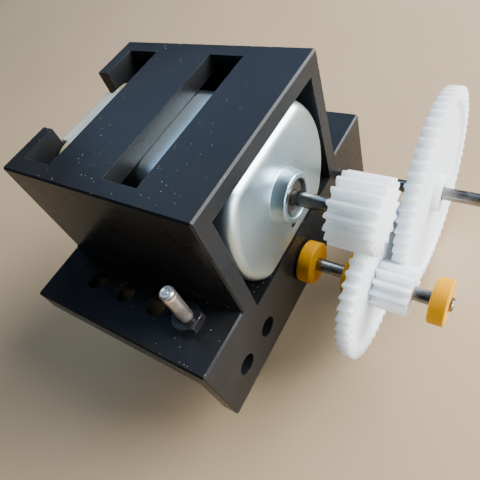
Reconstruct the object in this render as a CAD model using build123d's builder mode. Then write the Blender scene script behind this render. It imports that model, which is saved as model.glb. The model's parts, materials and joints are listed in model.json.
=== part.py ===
from build123d import *
import os
from math import acos, asin, cos, degrees, pi, radians, sin, sqrt

# A small motor gearbox: a flat-sided DC motor in a black bracket, driving a
# compound spur gear on a lay shaft, which drives an output gear and shaft.
#
# Frame, in millimetres: +X runs along the shafts from the motor's back to its
# pinion, +Y runs across the bracket towards the output shaft, +Z points up.
# The origin is on the underside of the bracket's base, at the middle of it.

# ---------------------------------------------------------------- dimensions
# Motor body
can_diameter = 24.2
can_flat_height = 18.3
can_wall = 0.9
can_length = 28.3
can_edge_radius = 1.6
can_proud = 0.2              # how far the can's face stands out of the bracket
cap_length = 3.0             # plastic end cap behind the can
cap_spigot_length = 2.0
cap_spigot_wall = 1.4
cap_edge_radius = 0.6
cap_nose_width = 12.2        # raised block on the cap, in the bracket's rear mouth
cap_nose_length = 2.0
cap_nose_radius = 0.8
boss_base_diameter = 7.6
boss_tip_diameter = 7.0
boss_height = 1.9
boss_edge_radius = 0.3
boss_bore_diameter = 5.2
bearing_setback = 0.6        # from the boss's end to the bearing's face
bearing_edge_break = 0.25
locating_hole_diameter = 1.2
locating_hole_inset = 3.15   # from the can's lower flat

# Bracket
wall = 2.5                   # side walls and top
flange_width = 9.75          # beside the tube, on each side
base_thickness = 4.5
floor_thickness = 1.9        # under the motor
leg_thickness = 2.6
leg_below_shafts = 5.65      # from the shafts' line to the leg's lower edge
rear_wall_thickness = 2.3
rear_mouth_width = 12.8
rear_window_length = 5.8
slot_length = 5.8
slot_setback = 9.5           # from the front face to the top slot
hole_pitch = 6.2
flange_hole_count = 4
flange_hole_offset = 3.85    # from the tube's side to the row of holes
fixing_hole_diameter = 3.2
bracket_edge_break = 0.25

# Shafts and bushes
shaft_diameter = 2.0
motor_shaft_reach = 13.9     # beyond the bracket's front face
lay_shaft_reach = 22.1
output_shaft_reach = 34.0
shaft_tail = 3.0             # behind the leg
shaft_end_break = 0.2
knurl_height = 0.2           # of the output shaft's seat in its gear
bush_diameter = 6.6
bush_length = 2.2
bush_edge_break = 0.18
middle_bush_start = 7.4      # from the bracket's front face
outer_bush_start = 19.4

# Gears: module, tooth counts and face widths
gear_module = 0.5
pressure_angle = 20.0
root_depth = 1.25            # below the pitch circle, in modules
flank_points = 4
motor_pinion_teeth = 17
lay_wheel_teeth = 44
lay_pinion_teeth = 12
output_gear_teeth = 62
mesh_allowance = 0.10        # added to each pair's centre distance
tooth_thinning = 0.05        # taken off each tooth at the pitch circle
motor_pinion_start = 7.7
motor_pinion_width = 6.0
lay_wheel_start = 10.2
lay_wheel_width = 2.0
lay_pinion_width = 4.7
lay_hub_diameter = 5.0
output_gear_start = 12.85
output_gear_width = 2.1
output_hub_diameter = 6.0
output_hub_height = 0.5

# Motor internals
rotor_flat_gap = 0.6         # between the rotor and the can's flats
air_gap = 0.4                # between the rotor and the magnets
magnet_end_space = 4.15      # from each end of the can to the magnets
magnet_flat_space = 1.08     # from the can's flats to the magnets' edges
core_end_space = 7.65        # from each end of the can to the core
pole_count = 3
pole_half_angle = 50.0
pole_shoe_thickness = 1.2
pole_width = 3.0
core_hub_diameter = 5.4
coil_overhang = 2.0
coil_thickness = 1.7
coil_clearance = 0.5         # between a coil and the core's hub
commutator_diameter = 4.6
commutator_length = 4.0
commutator_slit_width = 0.3
commutator_slit_depth = 0.5
brush_size = 1.6
brush_gap = 0.05
brush_arm_thickness = 0.4
bearing_length = 2.2
rear_bearing_diameter = 4.4
thrust_washer_diameter = 3.6
thrust_washer_thickness = 0.5
thrust_washer_edge_break = 0.04
terminal_width = 2.3
terminal_thickness = 0.5
terminal_reach = 4.0
terminal_offset = 4.6
terminal_eye_length = 1.6
terminal_eye_width = 1.0

# Fixing screw and nut
screw_diameter = 2.0
screw_tip_height = 7.8       # above the base
screw_head_diameter = 3.8    # countersunk at 45 degrees, under the base
screw_slot_width = 0.4
screw_slot_depth = 0.5
nut_across_flats = 4.0
nut_height = 1.6
nut_chamfer = 0.3

# Clearances
fit_gap = 0.05               # radial, for shafts that turn in holes
slide_gap = 0.15             # between the can and the bracket's side walls
flat_gap = 0.05              # between the can's flats and the bracket
end_gap = 0.1                # between the motor's end cap and the rear wall
cap_shaft_gap = 0.2          # radial, where the motor shaft passes the end cap
face_gap = 0.25              # between faces that turn past each other
seat_gap = 0.05              # between seated pieces

# -------------------------------------------------------------- derived sizes
bracket_length = can_length - can_proud + cap_length + end_gap + rear_wall_thickness
front_x = bracket_length / 2
rear_x = -bracket_length / 2
rear_wall_x = rear_x + rear_wall_thickness
tube_inner_width = can_diameter + 2 * slide_gap
tube_width = tube_inner_width + 2 * wall
tube_inner_height = can_flat_height + 2 * flat_gap
base_width = tube_width + 2 * flange_width
flange_hole_y = tube_width / 2 + flange_hole_offset
top_z = floor_thickness + tube_inner_height + wall
motor_z = floor_thickness + tube_inner_height / 2

lay_distance = gear_module * (motor_pinion_teeth + lay_wheel_teeth) / 2 + mesh_allowance
output_distance = gear_module * (lay_pinion_teeth + output_gear_teeth) / 2 + mesh_allowance
lay_z = motor_z - lay_distance
output_y = output_distance
leg_bottom_z = lay_z - leg_below_shafts

can_face_x = front_x + can_proud
can_end_x = can_face_x - can_length
cap_end_x = can_end_x - cap_length
can_inner_diameter = can_diameter - 2 * can_wall
can_inner_height = can_flat_height - 2 * can_wall
bearing_face_x = can_face_x + boss_height - bearing_setback
screw_x = front_x - hole_pitch
output_seat_diameter = shaft_diameter + 2 * knurl_height


def across(x, y=0.0, z=0.0):
    """A plane square to the shafts, with its own X towards the output shaft."""
    return Plane(origin=(x, y, z), x_dir=(0, 1, 0), z_dir=(1, 0, 0))


def save(part, name):
    """Label a finished piece and write its STEP file."""
    part.label = name
    export_step(part, f"parts/{name}.step")


os.makedirs("parts", exist_ok=True)

# ------------------------------------------------------------------- bracket
with BuildPart() as motor_bracket:
    # Base plate and the tube that the motor sits in, one on the other
    with BuildSketch(Plane.XY):
        Rectangle(bracket_length, base_width)
    extrude(amount=base_thickness)
    with BuildSketch(Plane.XY):
        Rectangle(bracket_length, tube_width)
    extrude(amount=top_z)
    # Front leg, in one plane with the tube's mouth
    with BuildSketch(Plane.XY.offset(base_thickness)):
        with Locations((front_x - leg_thickness / 2, 0)):
            Rectangle(leg_thickness, base_width)
    extrude(amount=leg_bottom_z - base_thickness)
    chamfer(motor_bracket.edges(), length=bracket_edge_break)
    # Pocket for the motor, open at the front
    with BuildSketch(across(rear_wall_x, z=motor_z)):
        Rectangle(tube_inner_width, tube_inner_height)
    extrude(amount=front_x - rear_wall_x, mode=Mode.SUBTRACT)
    # Rear mouth, open through the rear wall and the top
    with BuildSketch(across(rear_x, z=floor_thickness)):
        Rectangle(rear_mouth_width, top_z, align=(Align.CENTER, Align.MIN))
    extrude(amount=rear_wall_thickness, mode=Mode.SUBTRACT)
    # Top slot and top rear window, both as wide as the pocket
    slot_middle = front_x - slot_setback - slot_length / 2
    window_middle = rear_wall_x + rear_window_length / 2
    with BuildSketch(Plane.XY.offset(top_z)):
        with Locations((slot_middle, 0)):
            Rectangle(slot_length, tube_inner_width)
        with Locations((window_middle, 0)):
            Rectangle(rear_window_length, tube_inner_width)
    extrude(amount=-wall, mode=Mode.SUBTRACT)
    # Rows of fixing holes through both flanges
    with BuildSketch(Plane.XY.offset(base_thickness)):
        for row in range(flange_hole_count):
            hole_x = front_x - hole_pitch * (row + 1)
            with Locations((hole_x, -flange_hole_y), (hole_x, flange_hole_y)):
                Circle(fixing_hole_diameter / 2)
    extrude(amount=-base_thickness, mode=Mode.SUBTRACT)
    # Countersink under the base for the screw's head
    with BuildSketch(Plane.XY):
        with Locations((screw_x, -flange_hole_y)):
            Circle(screw_head_diameter / 2)
    sink_depth = (screw_head_diameter - fixing_hole_diameter) / 2
    extrude(amount=sink_depth, taper=45, mode=Mode.SUBTRACT)
    # Holes through the leg: two run the shafts, the rest are spare
    spare_hole_y = output_y - hole_pitch
    with BuildSketch(across(front_x, z=lay_z)):
        with Locations((0, 0), (output_y, 0)):
            Circle(shaft_diameter / 2 + fit_gap)
        with Locations((-output_y, 0), (-spare_hole_y, 0), (spare_hole_y, 0)):
            Circle(fixing_hole_diameter / 2)
    extrude(amount=-leg_thickness, mode=Mode.SUBTRACT)
save(motor_bracket.part, "motor_bracket")


# ---------------------------------------------------------------- motor body
def flat_sided(diameter, height):
    """A round sketch with a flat at the top and the bottom."""
    Circle(diameter / 2)
    Rectangle(diameter, height, mode=Mode.INTERSECT)


with BuildPart() as motor_can:
    with BuildSketch(across(can_end_x, z=motor_z)):
        flat_sided(can_diameter, can_flat_height)
    extrude(amount=can_length)
    fillet(motor_can.faces().sort_by(Axis.X)[-1].edges(), radius=can_edge_radius)
    with BuildSketch(across(can_end_x, z=motor_z)):
        flat_sided(can_inner_diameter, can_inner_height)
    extrude(amount=can_length - can_wall, mode=Mode.SUBTRACT)
    # Bearing boss, pressed out of the face
    boss_taper = degrees((boss_base_diameter - boss_tip_diameter) / 2 / boss_height)
    with BuildSketch(across(can_face_x, z=motor_z)):
        Circle(boss_base_diameter / 2)
    extrude(amount=boss_height, taper=boss_taper)
    fillet(motor_can.faces().sort_by(Axis.X)[-1].edges(), radius=boss_edge_radius)
    with BuildSketch(across(can_face_x - can_wall, z=motor_z)):
        Circle(boss_bore_diameter / 2)
    extrude(amount=can_wall + boss_height, mode=Mode.SUBTRACT)
    locating_hole_z = motor_z - can_flat_height / 2 + locating_hole_inset
    with BuildSketch(across(can_face_x - can_wall, z=locating_hole_z)):
        Circle(locating_hole_diameter / 2)
    extrude(amount=can_wall, mode=Mode.SUBTRACT)
save(motor_can.part, "motor_can")

with BuildPart() as front_bearing:
    with BuildSketch(across(bearing_face_x - bearing_length, z=motor_z)):
        Circle(boss_bore_diameter / 2)
        Circle(shaft_diameter / 2 + fit_gap, mode=Mode.SUBTRACT)
    extrude(amount=bearing_length)
    rim = front_bearing.faces().sort_by(Axis.X)[-1].edges()
    chamfer(rim, length=bearing_edge_break)
save(front_bearing.part, "front_bearing")

with BuildPart() as motor_end_cap:
    # Outer disc, flush with the can, then a spigot inside it
    with BuildSketch(across(cap_end_x, z=motor_z)):
        flat_sided(can_diameter, can_flat_height)
    extrude(amount=cap_length)
    fillet(motor_end_cap.faces().sort_by(Axis.X)[0].edges(), radius=cap_edge_radius)
    with BuildSketch(across(can_end_x, z=motor_z)):
        flat_sided(can_inner_diameter, can_inner_height)
        offset(amount=-cap_spigot_wall, mode=Mode.SUBTRACT)
    extrude(amount=cap_spigot_length)
    # Raised block in the bracket's mouth, and the rear bearing's housing
    with BuildSketch(across(cap_end_x, z=motor_z)):
        Rectangle(cap_nose_width, can_flat_height)
    extrude(amount=-cap_nose_length)
    nose_edges = motor_end_cap.faces().sort_by(Axis.X)[0].edges()
    fillet(nose_edges, radius=cap_nose_radius)
    with BuildSketch(across(can_end_x, z=motor_z)):
        Circle(rear_bearing_diameter / 2 + cap_spigot_wall)
    extrude(amount=bearing_length - cap_length)
    with BuildSketch(across(can_end_x, z=motor_z)):
        Circle(rear_bearing_diameter / 2)
    extrude(amount=-bearing_length, mode=Mode.SUBTRACT)
    with BuildSketch(across(cap_end_x - cap_nose_length, z=motor_z)):
        Circle(shaft_diameter / 2 + cap_shaft_gap)
        with Locations((-terminal_offset, 0), (terminal_offset, 0)):
            Rectangle(terminal_thickness, terminal_width)
    extrude(amount=cap_nose_length + cap_length, mode=Mode.SUBTRACT)
save(motor_end_cap.part, "motor_end_cap")

with BuildPart() as rear_bearing:
    with BuildSketch(across(can_end_x - bearing_length, z=motor_z)):
        Circle(rear_bearing_diameter / 2)
        Circle(shaft_diameter / 2 + fit_gap, mode=Mode.SUBTRACT)
    extrude(amount=bearing_length)
save(rear_bearing.part, "rear_bearing")

# ------------------------------------------------------------ motor internals
core_radius = can_inner_height / 2 - rotor_flat_gap
magnet_inner_radius = core_radius + air_gap
magnet_outer_radius = can_inner_diameter / 2 - seat_gap
magnet_half_angle = degrees(asin((can_inner_height / 2 - magnet_flat_space) / magnet_outer_radius))
magnet_length = can_length - 2 * magnet_end_space
core_length = can_length - 2 * core_end_space
core_middle_x = can_face_x - can_length / 2
core_start_x = core_middle_x - core_length / 2


def ring_sector(inner_radius, outer_radius, middle_angle, half_angle):
    """An arc-shaped sketch between two radii, centred on one angle."""
    with BuildSketch(mode=Mode.PRIVATE) as sector:
        with BuildLine():
            near = CenterArc((0, 0), inner_radius, middle_angle - half_angle, 2 * half_angle)
            far = CenterArc((0, 0), outer_radius, middle_angle - half_angle, 2 * half_angle)
            Line(near @ 0, far @ 0)
            Line(near @ 1, far @ 1)
        make_face()
    return sector.sketch


with BuildPart() as field_magnets:
    with BuildSketch(across(core_middle_x - magnet_length / 2, z=motor_z)):
        for side_angle in (0, 180):
            add(ring_sector(magnet_inner_radius, magnet_outer_radius, side_angle, magnet_half_angle))
    extrude(amount=magnet_length)
save(field_magnets.part, "field_magnets")

with BuildPart() as armature_core:
    with BuildSketch(across(core_start_x, z=motor_z)):
        Circle(core_hub_diameter / 2)
        for pole in range(pole_count):
            pole_angle = 90 + pole * 360 / pole_count
            with Locations(Rotation(0, 0, pole_angle)):
                Rectangle(core_radius - pole_shoe_thickness / 2, pole_width, align=(Align.MIN, Align.CENTER))
            add(ring_sector(core_radius - pole_shoe_thickness, core_radius, pole_angle, pole_half_angle))
        Circle(shaft_diameter / 2, mode=Mode.SUBTRACT)
    extrude(amount=core_length)
save(armature_core.part, "armature_core")

with BuildPart() as armature_windings:
    # One coil round each pole, inside the shoes
    coil_width = pole_width + 2 * coil_thickness
    slot_radius = core_radius - pole_shoe_thickness - seat_gap
    coil_outer = sqrt(slot_radius**2 - (coil_width / 2) ** 2)
    coil_inner = core_hub_diameter / 2 + coil_clearance
    for pole in range(pole_count):
        pole_angle = 90 + pole * 360 / pole_count
        with BuildSketch(across(core_middle_x, z=motor_z)):
            with Locations(Rotation(0, 0, pole_angle) * Pos(coil_inner, 0)):
                Rectangle(coil_outer - coil_inner, coil_width, align=(Align.MIN, Align.CENTER))
        extrude(amount=core_length / 2 + coil_overhang, both=True)
        with BuildSketch(across(core_middle_x, z=motor_z)):
            with Locations(Rotation(0, 0, pole_angle)):
                Rectangle(core_radius, pole_width + 2 * seat_gap, align=(Align.MIN, Align.CENTER))
        extrude(amount=core_length / 2 + seat_gap, both=True, mode=Mode.SUBTRACT)
save(armature_windings.part, "armature_windings")

# -------------------------------------------------------------- rotor fittings
cap_face_x = can_end_x
washer_front_x = bearing_face_x - bearing_length - seat_gap
commutator_start_x = core_start_x - coil_overhang - face_gap - commutator_length
motor_shaft_start_x = cap_end_x - cap_nose_length + 2 * face_gap


def shaft(start_x, end_x, y, z):
    """A plain round shaft with a small break at both ends."""
    with BuildPart() as piece:
        with BuildSketch(across(start_x, y, z)):
            Circle(shaft_diameter / 2)
        extrude(amount=end_x - start_x)
        chamfer(piece.edges().filter_by(GeomType.CIRCLE), length=shaft_end_break)
    return piece.part


def collar(start_x, length, diameter, edge_break, z):
    """A plain ring that is pressed on a shaft in the motor's middle plane."""
    with BuildPart() as piece:
        with BuildSketch(across(start_x, z=z)):
            Circle(diameter / 2)
        extrude(amount=length)
        chamfer(piece.edges().filter_by(GeomType.CIRCLE), length=edge_break)
        with BuildSketch(across(start_x, z=z)):
            Circle(shaft_diameter / 2)
        extrude(amount=length, mode=Mode.SUBTRACT)
    return piece.part


motor_shaft = shaft(motor_shaft_start_x, front_x + motor_shaft_reach, 0, motor_z)
save(motor_shaft, "motor_shaft")

washer_starts = {
    "front_thrust_washer": washer_front_x - thrust_washer_thickness,
    "rear_thrust_washer": cap_face_x + seat_gap,
}
for washer_name, start in washer_starts.items():
    washer = collar(
        start, thrust_washer_thickness, thrust_washer_diameter, thrust_washer_edge_break, motor_z
    )
    save(washer, washer_name)

with BuildPart() as commutator:
    with BuildSketch(across(commutator_start_x, z=motor_z)):
        Circle(commutator_diameter / 2)
        Circle(shaft_diameter / 2, mode=Mode.SUBTRACT)
    extrude(amount=commutator_length)
    # Shallow slits part the segments
    with BuildSketch(across(commutator_start_x, z=motor_z)):
        with PolarLocations(commutator_diameter / 2, pole_count, start_angle=30):
            Rectangle(2 * commutator_slit_depth, commutator_slit_width)
    extrude(amount=commutator_length, mode=Mode.SUBTRACT)
save(commutator.part, "commutator")

# ------------------------------------------------------- brushes and terminals
brush_x = commutator_start_x + commutator_length / 2
brush_y = commutator_diameter / 2 + brush_gap

with BuildPart() as carbon_brushes:
    for side in (-1, 1):
        with BuildSketch(across(brush_x - brush_size / 2, side * (brush_y + brush_size / 2), motor_z)):
            Rectangle(brush_size, brush_size)
        extrude(amount=brush_size)
save(carbon_brushes.part, "carbon_brushes")

with BuildPart() as brush_arms:
    # Each leaf runs forward from the cap and bears on the back of its brush
    arm_y = brush_y + brush_size + brush_arm_thickness / 2
    for side in (-1, 1):
        with BuildSketch(across(cap_face_x, side * arm_y, motor_z)):
            Rectangle(brush_arm_thickness, terminal_width)
        extrude(amount=brush_x + brush_size / 2 - cap_face_x)
save(brush_arms.part, "brush_arms")

with BuildPart() as motor_terminals:
    terminal_start_x = cap_end_x - cap_nose_length - terminal_reach
    for side in (-1, 1):
        with BuildSketch(across(terminal_start_x, side * terminal_offset, motor_z)):
            Rectangle(terminal_thickness, terminal_width)
        extrude(amount=cap_face_x - terminal_start_x)
    # Eyes for the leads
    with BuildSketch(Plane.XZ):
        with Locations((terminal_start_x + terminal_width / 2, motor_z)):
            SlotOverall(terminal_eye_length, terminal_eye_width, rotation=90)
    extrude(amount=2 * terminal_offset, both=True, mode=Mode.SUBTRACT)
save(motor_terminals.part, "motor_terminals")


# ---------------------------------------------------------------------- gears
def involute_angle(base_radius, radius):
    """How far an involute has turned from its base circle at a radius."""
    roll = sqrt(max((radius / base_radius) ** 2 - 1, 0))
    return roll - acos(min(base_radius / radius, 1))


def polar(radius, angle):
    """A sketch point from a radius and an angle in radians."""
    return (radius * cos(angle), radius * sin(angle))


def spur_face(teeth, first_tooth_angle, bore_radius):
    """A spur gear's face, with a tooth centred on the given angle in degrees."""
    pitch_radius = gear_module * teeth / 2
    base_radius = pitch_radius * cos(radians(pressure_angle))
    tip_radius = pitch_radius + gear_module
    root_radius = pitch_radius - root_depth * gear_module
    flank_start = max(base_radius, root_radius)
    half_tooth = pi / (2 * teeth) - tooth_thinning / (2 * pitch_radius)
    half_at_base = half_tooth + involute_angle(base_radius, pitch_radius)
    flank = []
    for step in range(flank_points):
        radius = flank_start + (tip_radius - flank_start) * step / (flank_points - 1)
        flank.append((radius, half_at_base - involute_angle(base_radius, radius)))
    tooth_pitch = 2 * pi / teeth
    with BuildSketch(mode=Mode.PRIVATE) as face:
        with BuildLine():
            for tooth in range(teeth):
                middle = radians(first_tooth_angle) + tooth * tooth_pitch
                rising = [polar(radius, middle - half) for radius, half in flank]
                falling = [polar(radius, middle + half) for radius, half in reversed(flank)]
                foot_half = flank[0][1]
                foot = polar(root_radius, middle - foot_half)
                next_foot = polar(root_radius, middle + tooth_pitch - foot_half)
                heel = polar(root_radius, middle + foot_half)
                if flank_start > root_radius:
                    Line(foot, rising[0])
                Spline(rising)
                ThreePointArc(rising[-1], polar(tip_radius, middle), falling[0])
                Spline(falling)
                if flank_start > root_radius:
                    Line(falling[-1], heel)
                ThreePointArc(heel, polar(root_radius, middle + tooth_pitch / 2), next_foot)
        make_face()
        Circle(bore_radius, mode=Mode.SUBTRACT)
    return face.sketch


# Meshing pairs: a tooth of one faces a gap of the other along their centres
pinion_tooth_angle = -90
wheel_tooth_angle = 90 + 180 / lay_wheel_teeth
lay_pinion_tooth_angle = 0
output_tooth_angle = 180 + 180 / output_gear_teeth

with BuildPart() as motor_pinion:
    with BuildSketch(across(front_x + motor_pinion_start, z=motor_z)):
        add(spur_face(motor_pinion_teeth, pinion_tooth_angle, shaft_diameter / 2))
    extrude(amount=motor_pinion_width)
save(motor_pinion.part, "motor_pinion")

with BuildPart() as compound_gear:
    wheel_x = front_x + lay_wheel_start
    middle_bush_end_x = front_x + middle_bush_start + bush_length
    with BuildSketch(across(middle_bush_end_x + seat_gap, z=lay_z)):
        Circle(lay_hub_diameter / 2)
        Circle(shaft_diameter / 2, mode=Mode.SUBTRACT)
    extrude(amount=wheel_x - middle_bush_end_x - seat_gap)
    with BuildSketch(across(wheel_x, z=lay_z)):
        add(spur_face(lay_wheel_teeth, wheel_tooth_angle, shaft_diameter / 2))
    extrude(amount=lay_wheel_width)
    with BuildSketch(across(wheel_x + lay_wheel_width, z=lay_z)):
        add(spur_face(lay_pinion_teeth, lay_pinion_tooth_angle, shaft_diameter / 2))
    extrude(amount=lay_pinion_width)
save(compound_gear.part, "compound_gear")

with BuildPart() as output_gear:
    gear_x = front_x + output_gear_start
    with BuildSketch(across(gear_x, output_y, lay_z)):
        add(spur_face(output_gear_teeth, output_tooth_angle, output_seat_diameter / 2))
    extrude(amount=output_gear_width)
    with BuildSketch(across(gear_x + output_gear_width, output_y, lay_z)):
        Circle(output_hub_diameter / 2)
        Circle(output_seat_diameter / 2, mode=Mode.SUBTRACT)
    extrude(amount=output_hub_height)
save(output_gear.part, "output_gear")

# ----------------------------------------------------------- shafts and bushes
tail_x = front_x - leg_thickness - shaft_tail
save(shaft(tail_x, front_x + lay_shaft_reach, 0, lay_z), "lay_shaft")
with BuildPart() as output_shaft:
    add(shaft(tail_x, front_x + output_shaft_reach, output_y, lay_z))
    # Knurled seat, a little larger, inside the gear
    with BuildSketch(across(gear_x, output_y, lay_z)):
        Circle(output_seat_diameter / 2)
    extrude(amount=output_gear_width + output_hub_height)
save(output_shaft.part, "output_shaft")

bush_starts = {
    "inner_bush": face_gap,
    "middle_bush": middle_bush_start,
    "outer_bush": outer_bush_start,
}
for bush_name, start in bush_starts.items():
    save(collar(front_x + start, bush_length, bush_diameter, bush_edge_break, lay_z), bush_name)

# ------------------------------------------------------------ screw and nut
with BuildPart() as fixing_screw:
    # Countersunk head, just inside the base, then the shank up through the flange
    head_height = (screw_head_diameter - screw_diameter) / 2
    with BuildSketch(Plane.XY.offset(seat_gap)):
        with Locations((screw_x, -flange_hole_y)):
            Circle(screw_head_diameter / 2 - seat_gap)
    extrude(amount=head_height - seat_gap, taper=45)
    with BuildSketch(Plane.XY.offset(seat_gap)):
        with Locations((screw_x, -flange_hole_y)):
            Circle(screw_diameter / 2)
    extrude(amount=base_thickness + screw_tip_height - seat_gap)
    chamfer(fixing_screw.edges().sort_by(Axis.Z)[-1], length=shaft_end_break)
    with BuildSketch(Plane.XY.offset(seat_gap)):
        with Locations((screw_x, -flange_hole_y)):
            Rectangle(screw_head_diameter, screw_slot_width)
    extrude(amount=screw_slot_depth, mode=Mode.SUBTRACT)
save(fixing_screw.part, "fixing_screw")

with BuildPart() as fixing_nut:
    with BuildSketch(Plane.XY.offset(base_thickness)):
        with Locations((screw_x, -flange_hole_y)):
            RegularPolygon(nut_across_flats / 2, 6, major_radius=False)
            Circle(screw_diameter / 2, mode=Mode.SUBTRACT)
    extrude(amount=nut_height)
    # Both rims are turned down to a cone
    nut_section = Plane(origin=(screw_x, -flange_hole_y, base_thickness), x_dir=(1, 0, 0), z_dir=(0, -1, 0))
    corner_radius = nut_across_flats / sqrt(3)
    with BuildSketch(nut_section):
        with BuildLine():
            Polyline(
                (0, 0),
                (corner_radius - nut_chamfer, 0),
                (corner_radius, nut_chamfer),
                (corner_radius, nut_height - nut_chamfer),
                (corner_radius - nut_chamfer, nut_height),
                (0, nut_height),
                close=True,
            )
        make_face()
    revolve(axis=Axis(nut_section.origin, (0, 0, 1)), mode=Mode.INTERSECT)
save(fixing_nut.part, "fixing_nut")
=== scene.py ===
"""A small motor gearbox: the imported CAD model, dressed with finished surfaces.

The motor, gears, shafts, bushes and fasteners that show are built here as
smooth surfaces that stand for their CAD nodes. The bracket keeps its CAD
shape. Every material is procedural and reads Object coordinates.
"""

from __future__ import annotations

import json
import logging
import math
from collections.abc import Sequence
from dataclasses import dataclass, field
from enum import Enum

import bmesh
import bpy
import numpy as np
from mathutils import Matrix, Vector

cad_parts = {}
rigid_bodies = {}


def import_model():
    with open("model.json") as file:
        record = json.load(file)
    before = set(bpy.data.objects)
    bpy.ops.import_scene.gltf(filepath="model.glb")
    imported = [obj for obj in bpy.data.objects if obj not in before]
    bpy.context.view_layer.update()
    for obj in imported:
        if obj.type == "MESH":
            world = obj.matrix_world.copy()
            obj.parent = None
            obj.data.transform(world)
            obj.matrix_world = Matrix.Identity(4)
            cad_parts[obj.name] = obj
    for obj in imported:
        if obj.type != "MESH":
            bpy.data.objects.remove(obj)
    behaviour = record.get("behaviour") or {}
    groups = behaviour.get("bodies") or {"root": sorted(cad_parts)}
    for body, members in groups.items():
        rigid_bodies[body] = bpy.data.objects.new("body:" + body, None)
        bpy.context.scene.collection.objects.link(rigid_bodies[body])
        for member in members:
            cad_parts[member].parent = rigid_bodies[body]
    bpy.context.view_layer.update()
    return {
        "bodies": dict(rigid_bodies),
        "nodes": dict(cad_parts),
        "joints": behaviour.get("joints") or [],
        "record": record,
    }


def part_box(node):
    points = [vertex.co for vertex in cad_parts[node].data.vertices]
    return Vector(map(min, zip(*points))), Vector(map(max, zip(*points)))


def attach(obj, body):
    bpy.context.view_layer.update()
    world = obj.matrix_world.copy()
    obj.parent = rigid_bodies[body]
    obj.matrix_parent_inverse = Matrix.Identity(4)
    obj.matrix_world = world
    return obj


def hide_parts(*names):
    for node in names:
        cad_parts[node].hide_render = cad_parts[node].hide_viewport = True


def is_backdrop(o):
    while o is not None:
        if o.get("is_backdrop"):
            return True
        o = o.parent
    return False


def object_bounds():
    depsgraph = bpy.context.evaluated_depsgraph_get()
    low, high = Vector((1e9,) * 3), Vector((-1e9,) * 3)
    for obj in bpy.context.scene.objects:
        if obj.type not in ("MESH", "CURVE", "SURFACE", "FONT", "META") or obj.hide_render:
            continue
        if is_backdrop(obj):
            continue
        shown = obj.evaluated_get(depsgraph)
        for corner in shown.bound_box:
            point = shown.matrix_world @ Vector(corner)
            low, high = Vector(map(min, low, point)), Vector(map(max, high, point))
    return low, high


MM = 0.001
SMOOTH_ANGLE = math.radians(38)
SAME_POINT = 1e-7  # metres; points closer than this are merged
NO_LENGTH = 1e-8  # metres; edges shorter than this are dissolved

log = logging.getLogger("gearbox")

Outline = np.ndarray
Shell = tuple[np.ndarray, np.ndarray]
Section = Sequence[tuple[float, float]]
Colour = tuple[float, float, float]


# ------------------------------------------------------------------ outlines
def circle(radius: float, count: int) -> Outline:
    """Points of a circle: radius times (cos, sin) of evenly spaced angles.

    Args:
        radius: Radius in millimetres.
        count: Number of points.

    Returns:
        An array of shape (count, 2).
    """
    angle = np.linspace(0, 2 * math.pi, count, endpoint=False)
    return radius * np.stack([np.cos(angle), np.sin(angle)], axis=1)


def flat_sided(radius: float, half_height: float, count: int, softness: float = 26.0) -> Outline:
    """A circle with a flat at the top and bottom, soft where they meet.

    The distance from the centre is a smooth minimum of the radius and of the
    flat's distance, half_height / |sin angle|.

    Args:
        radius: Radius of the round sides in millimetres.
        half_height: Distance from the centre to each flat in millimetres.
        count: Number of points.
        softness: Exponent of the smooth minimum; higher is sharper.

    Returns:
        An array of shape (count, 2).
    """
    angle = np.linspace(0, 2 * math.pi, count, endpoint=False)
    flat = np.abs(np.sin(angle)) / half_height
    distance = (flat**softness + (1 / radius) ** softness) ** (-1 / softness)
    return distance[:, None] * np.stack([np.cos(angle), np.sin(angle)], axis=1)


def rounded_box(half_width: float, half_height: float, count: int, power: float = 9.0) -> Outline:
    """A rectangle with soft corners, as a superellipse in polar form.

    Args:
        half_width: Half the width in millimetres.
        half_height: Half the height in millimetres.
        count: Number of points.
        power: Exponent of the superellipse; higher is squarer.

    Returns:
        An array of shape (count, 2).
    """
    angle = np.linspace(0, 2 * math.pi, count, endpoint=False)
    across, up = np.cos(angle), np.sin(angle)
    reach = np.abs(across / half_width) ** power + np.abs(up / half_height) ** power
    return (reach ** (-1 / power))[:, None] * np.stack([across, up], axis=1)


def cut_corners(outline: Outline, rounds: int) -> Outline:
    """Each round replaces every point by the quarter points of its two sides.

    Args:
        outline: A closed outline of shape (count, 2).
        rounds: How many times the corners are cut.

    Returns:
        The softened outline, with twice as many points after each round.
    """
    for _ in range(rounds):
        following = np.roll(outline, -1, axis=0)
        near, far = 0.75 * outline + 0.25 * following, 0.25 * outline + 0.75 * following
        outline = np.stack([near, far], axis=1).reshape(-1, 2)
    return outline


def inset(outline: Outline, distance: float) -> Outline:
    """Moves each point of a closed outline inwards along its normal.

    Args:
        outline: A closed outline of shape (count, 2), counterclockwise.
        distance: How far to move in millimetres.

    Returns:
        The moved outline.
    """
    along = np.roll(outline, -1, axis=0) - np.roll(outline, 1, axis=0)
    normal = np.stack([along[:, 1], -along[:, 0]], axis=1)
    normal /= np.maximum(np.linalg.norm(normal, axis=1, keepdims=True), 1e-12)
    return outline - distance * normal


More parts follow.
